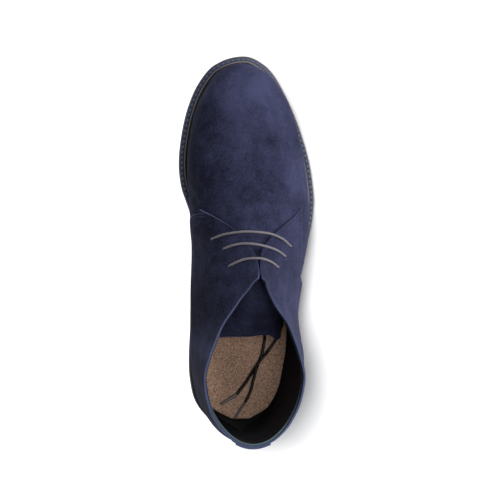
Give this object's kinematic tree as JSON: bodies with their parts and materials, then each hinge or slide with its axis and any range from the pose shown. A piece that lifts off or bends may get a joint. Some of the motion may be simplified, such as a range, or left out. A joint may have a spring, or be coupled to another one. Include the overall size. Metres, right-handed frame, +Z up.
{
  "type": "chukka boot",
  "caption": "Navy suede chukka boot for the right foot, with open lacing, a stitched welt and a low heel.",
  "frame": {"origin": "on the ground under the middle of the heel", "axes": "+X from heel to toe, +Y to the inner (medial) side of the foot, +Z up"},
  "size_m": [0.304, 0.1089, 0.1124],
  "materials": {
    "suede": "napped navy suede",
    "sole": "dark matte edge",
    "welt": "dark leather with blue stitches",
    "cork": "speckled brown footbed",
    "lace": "waxed round cord, grey",
    "dark_lace": "waxed round cord, near black",
    "lace_tip": "dark grey plastic"
  },
  "bodies": {
    "root": {"outsole": "sole", "heel": "sole", "welt": "welt", "footbed": "cork", "upper": "suede", "back_strip": "suede", "tongue": "suede", "lace_bar_1": "lace", "lace_bar_2": "lace", "lace_bar_3": "lace", "lace_end_inner": "dark_lace", "lace_end_outer": "dark_lace", "aglet_inner": "lace_tip", "aglet_outer": "lace_tip"}
  },
  "joints": []
}
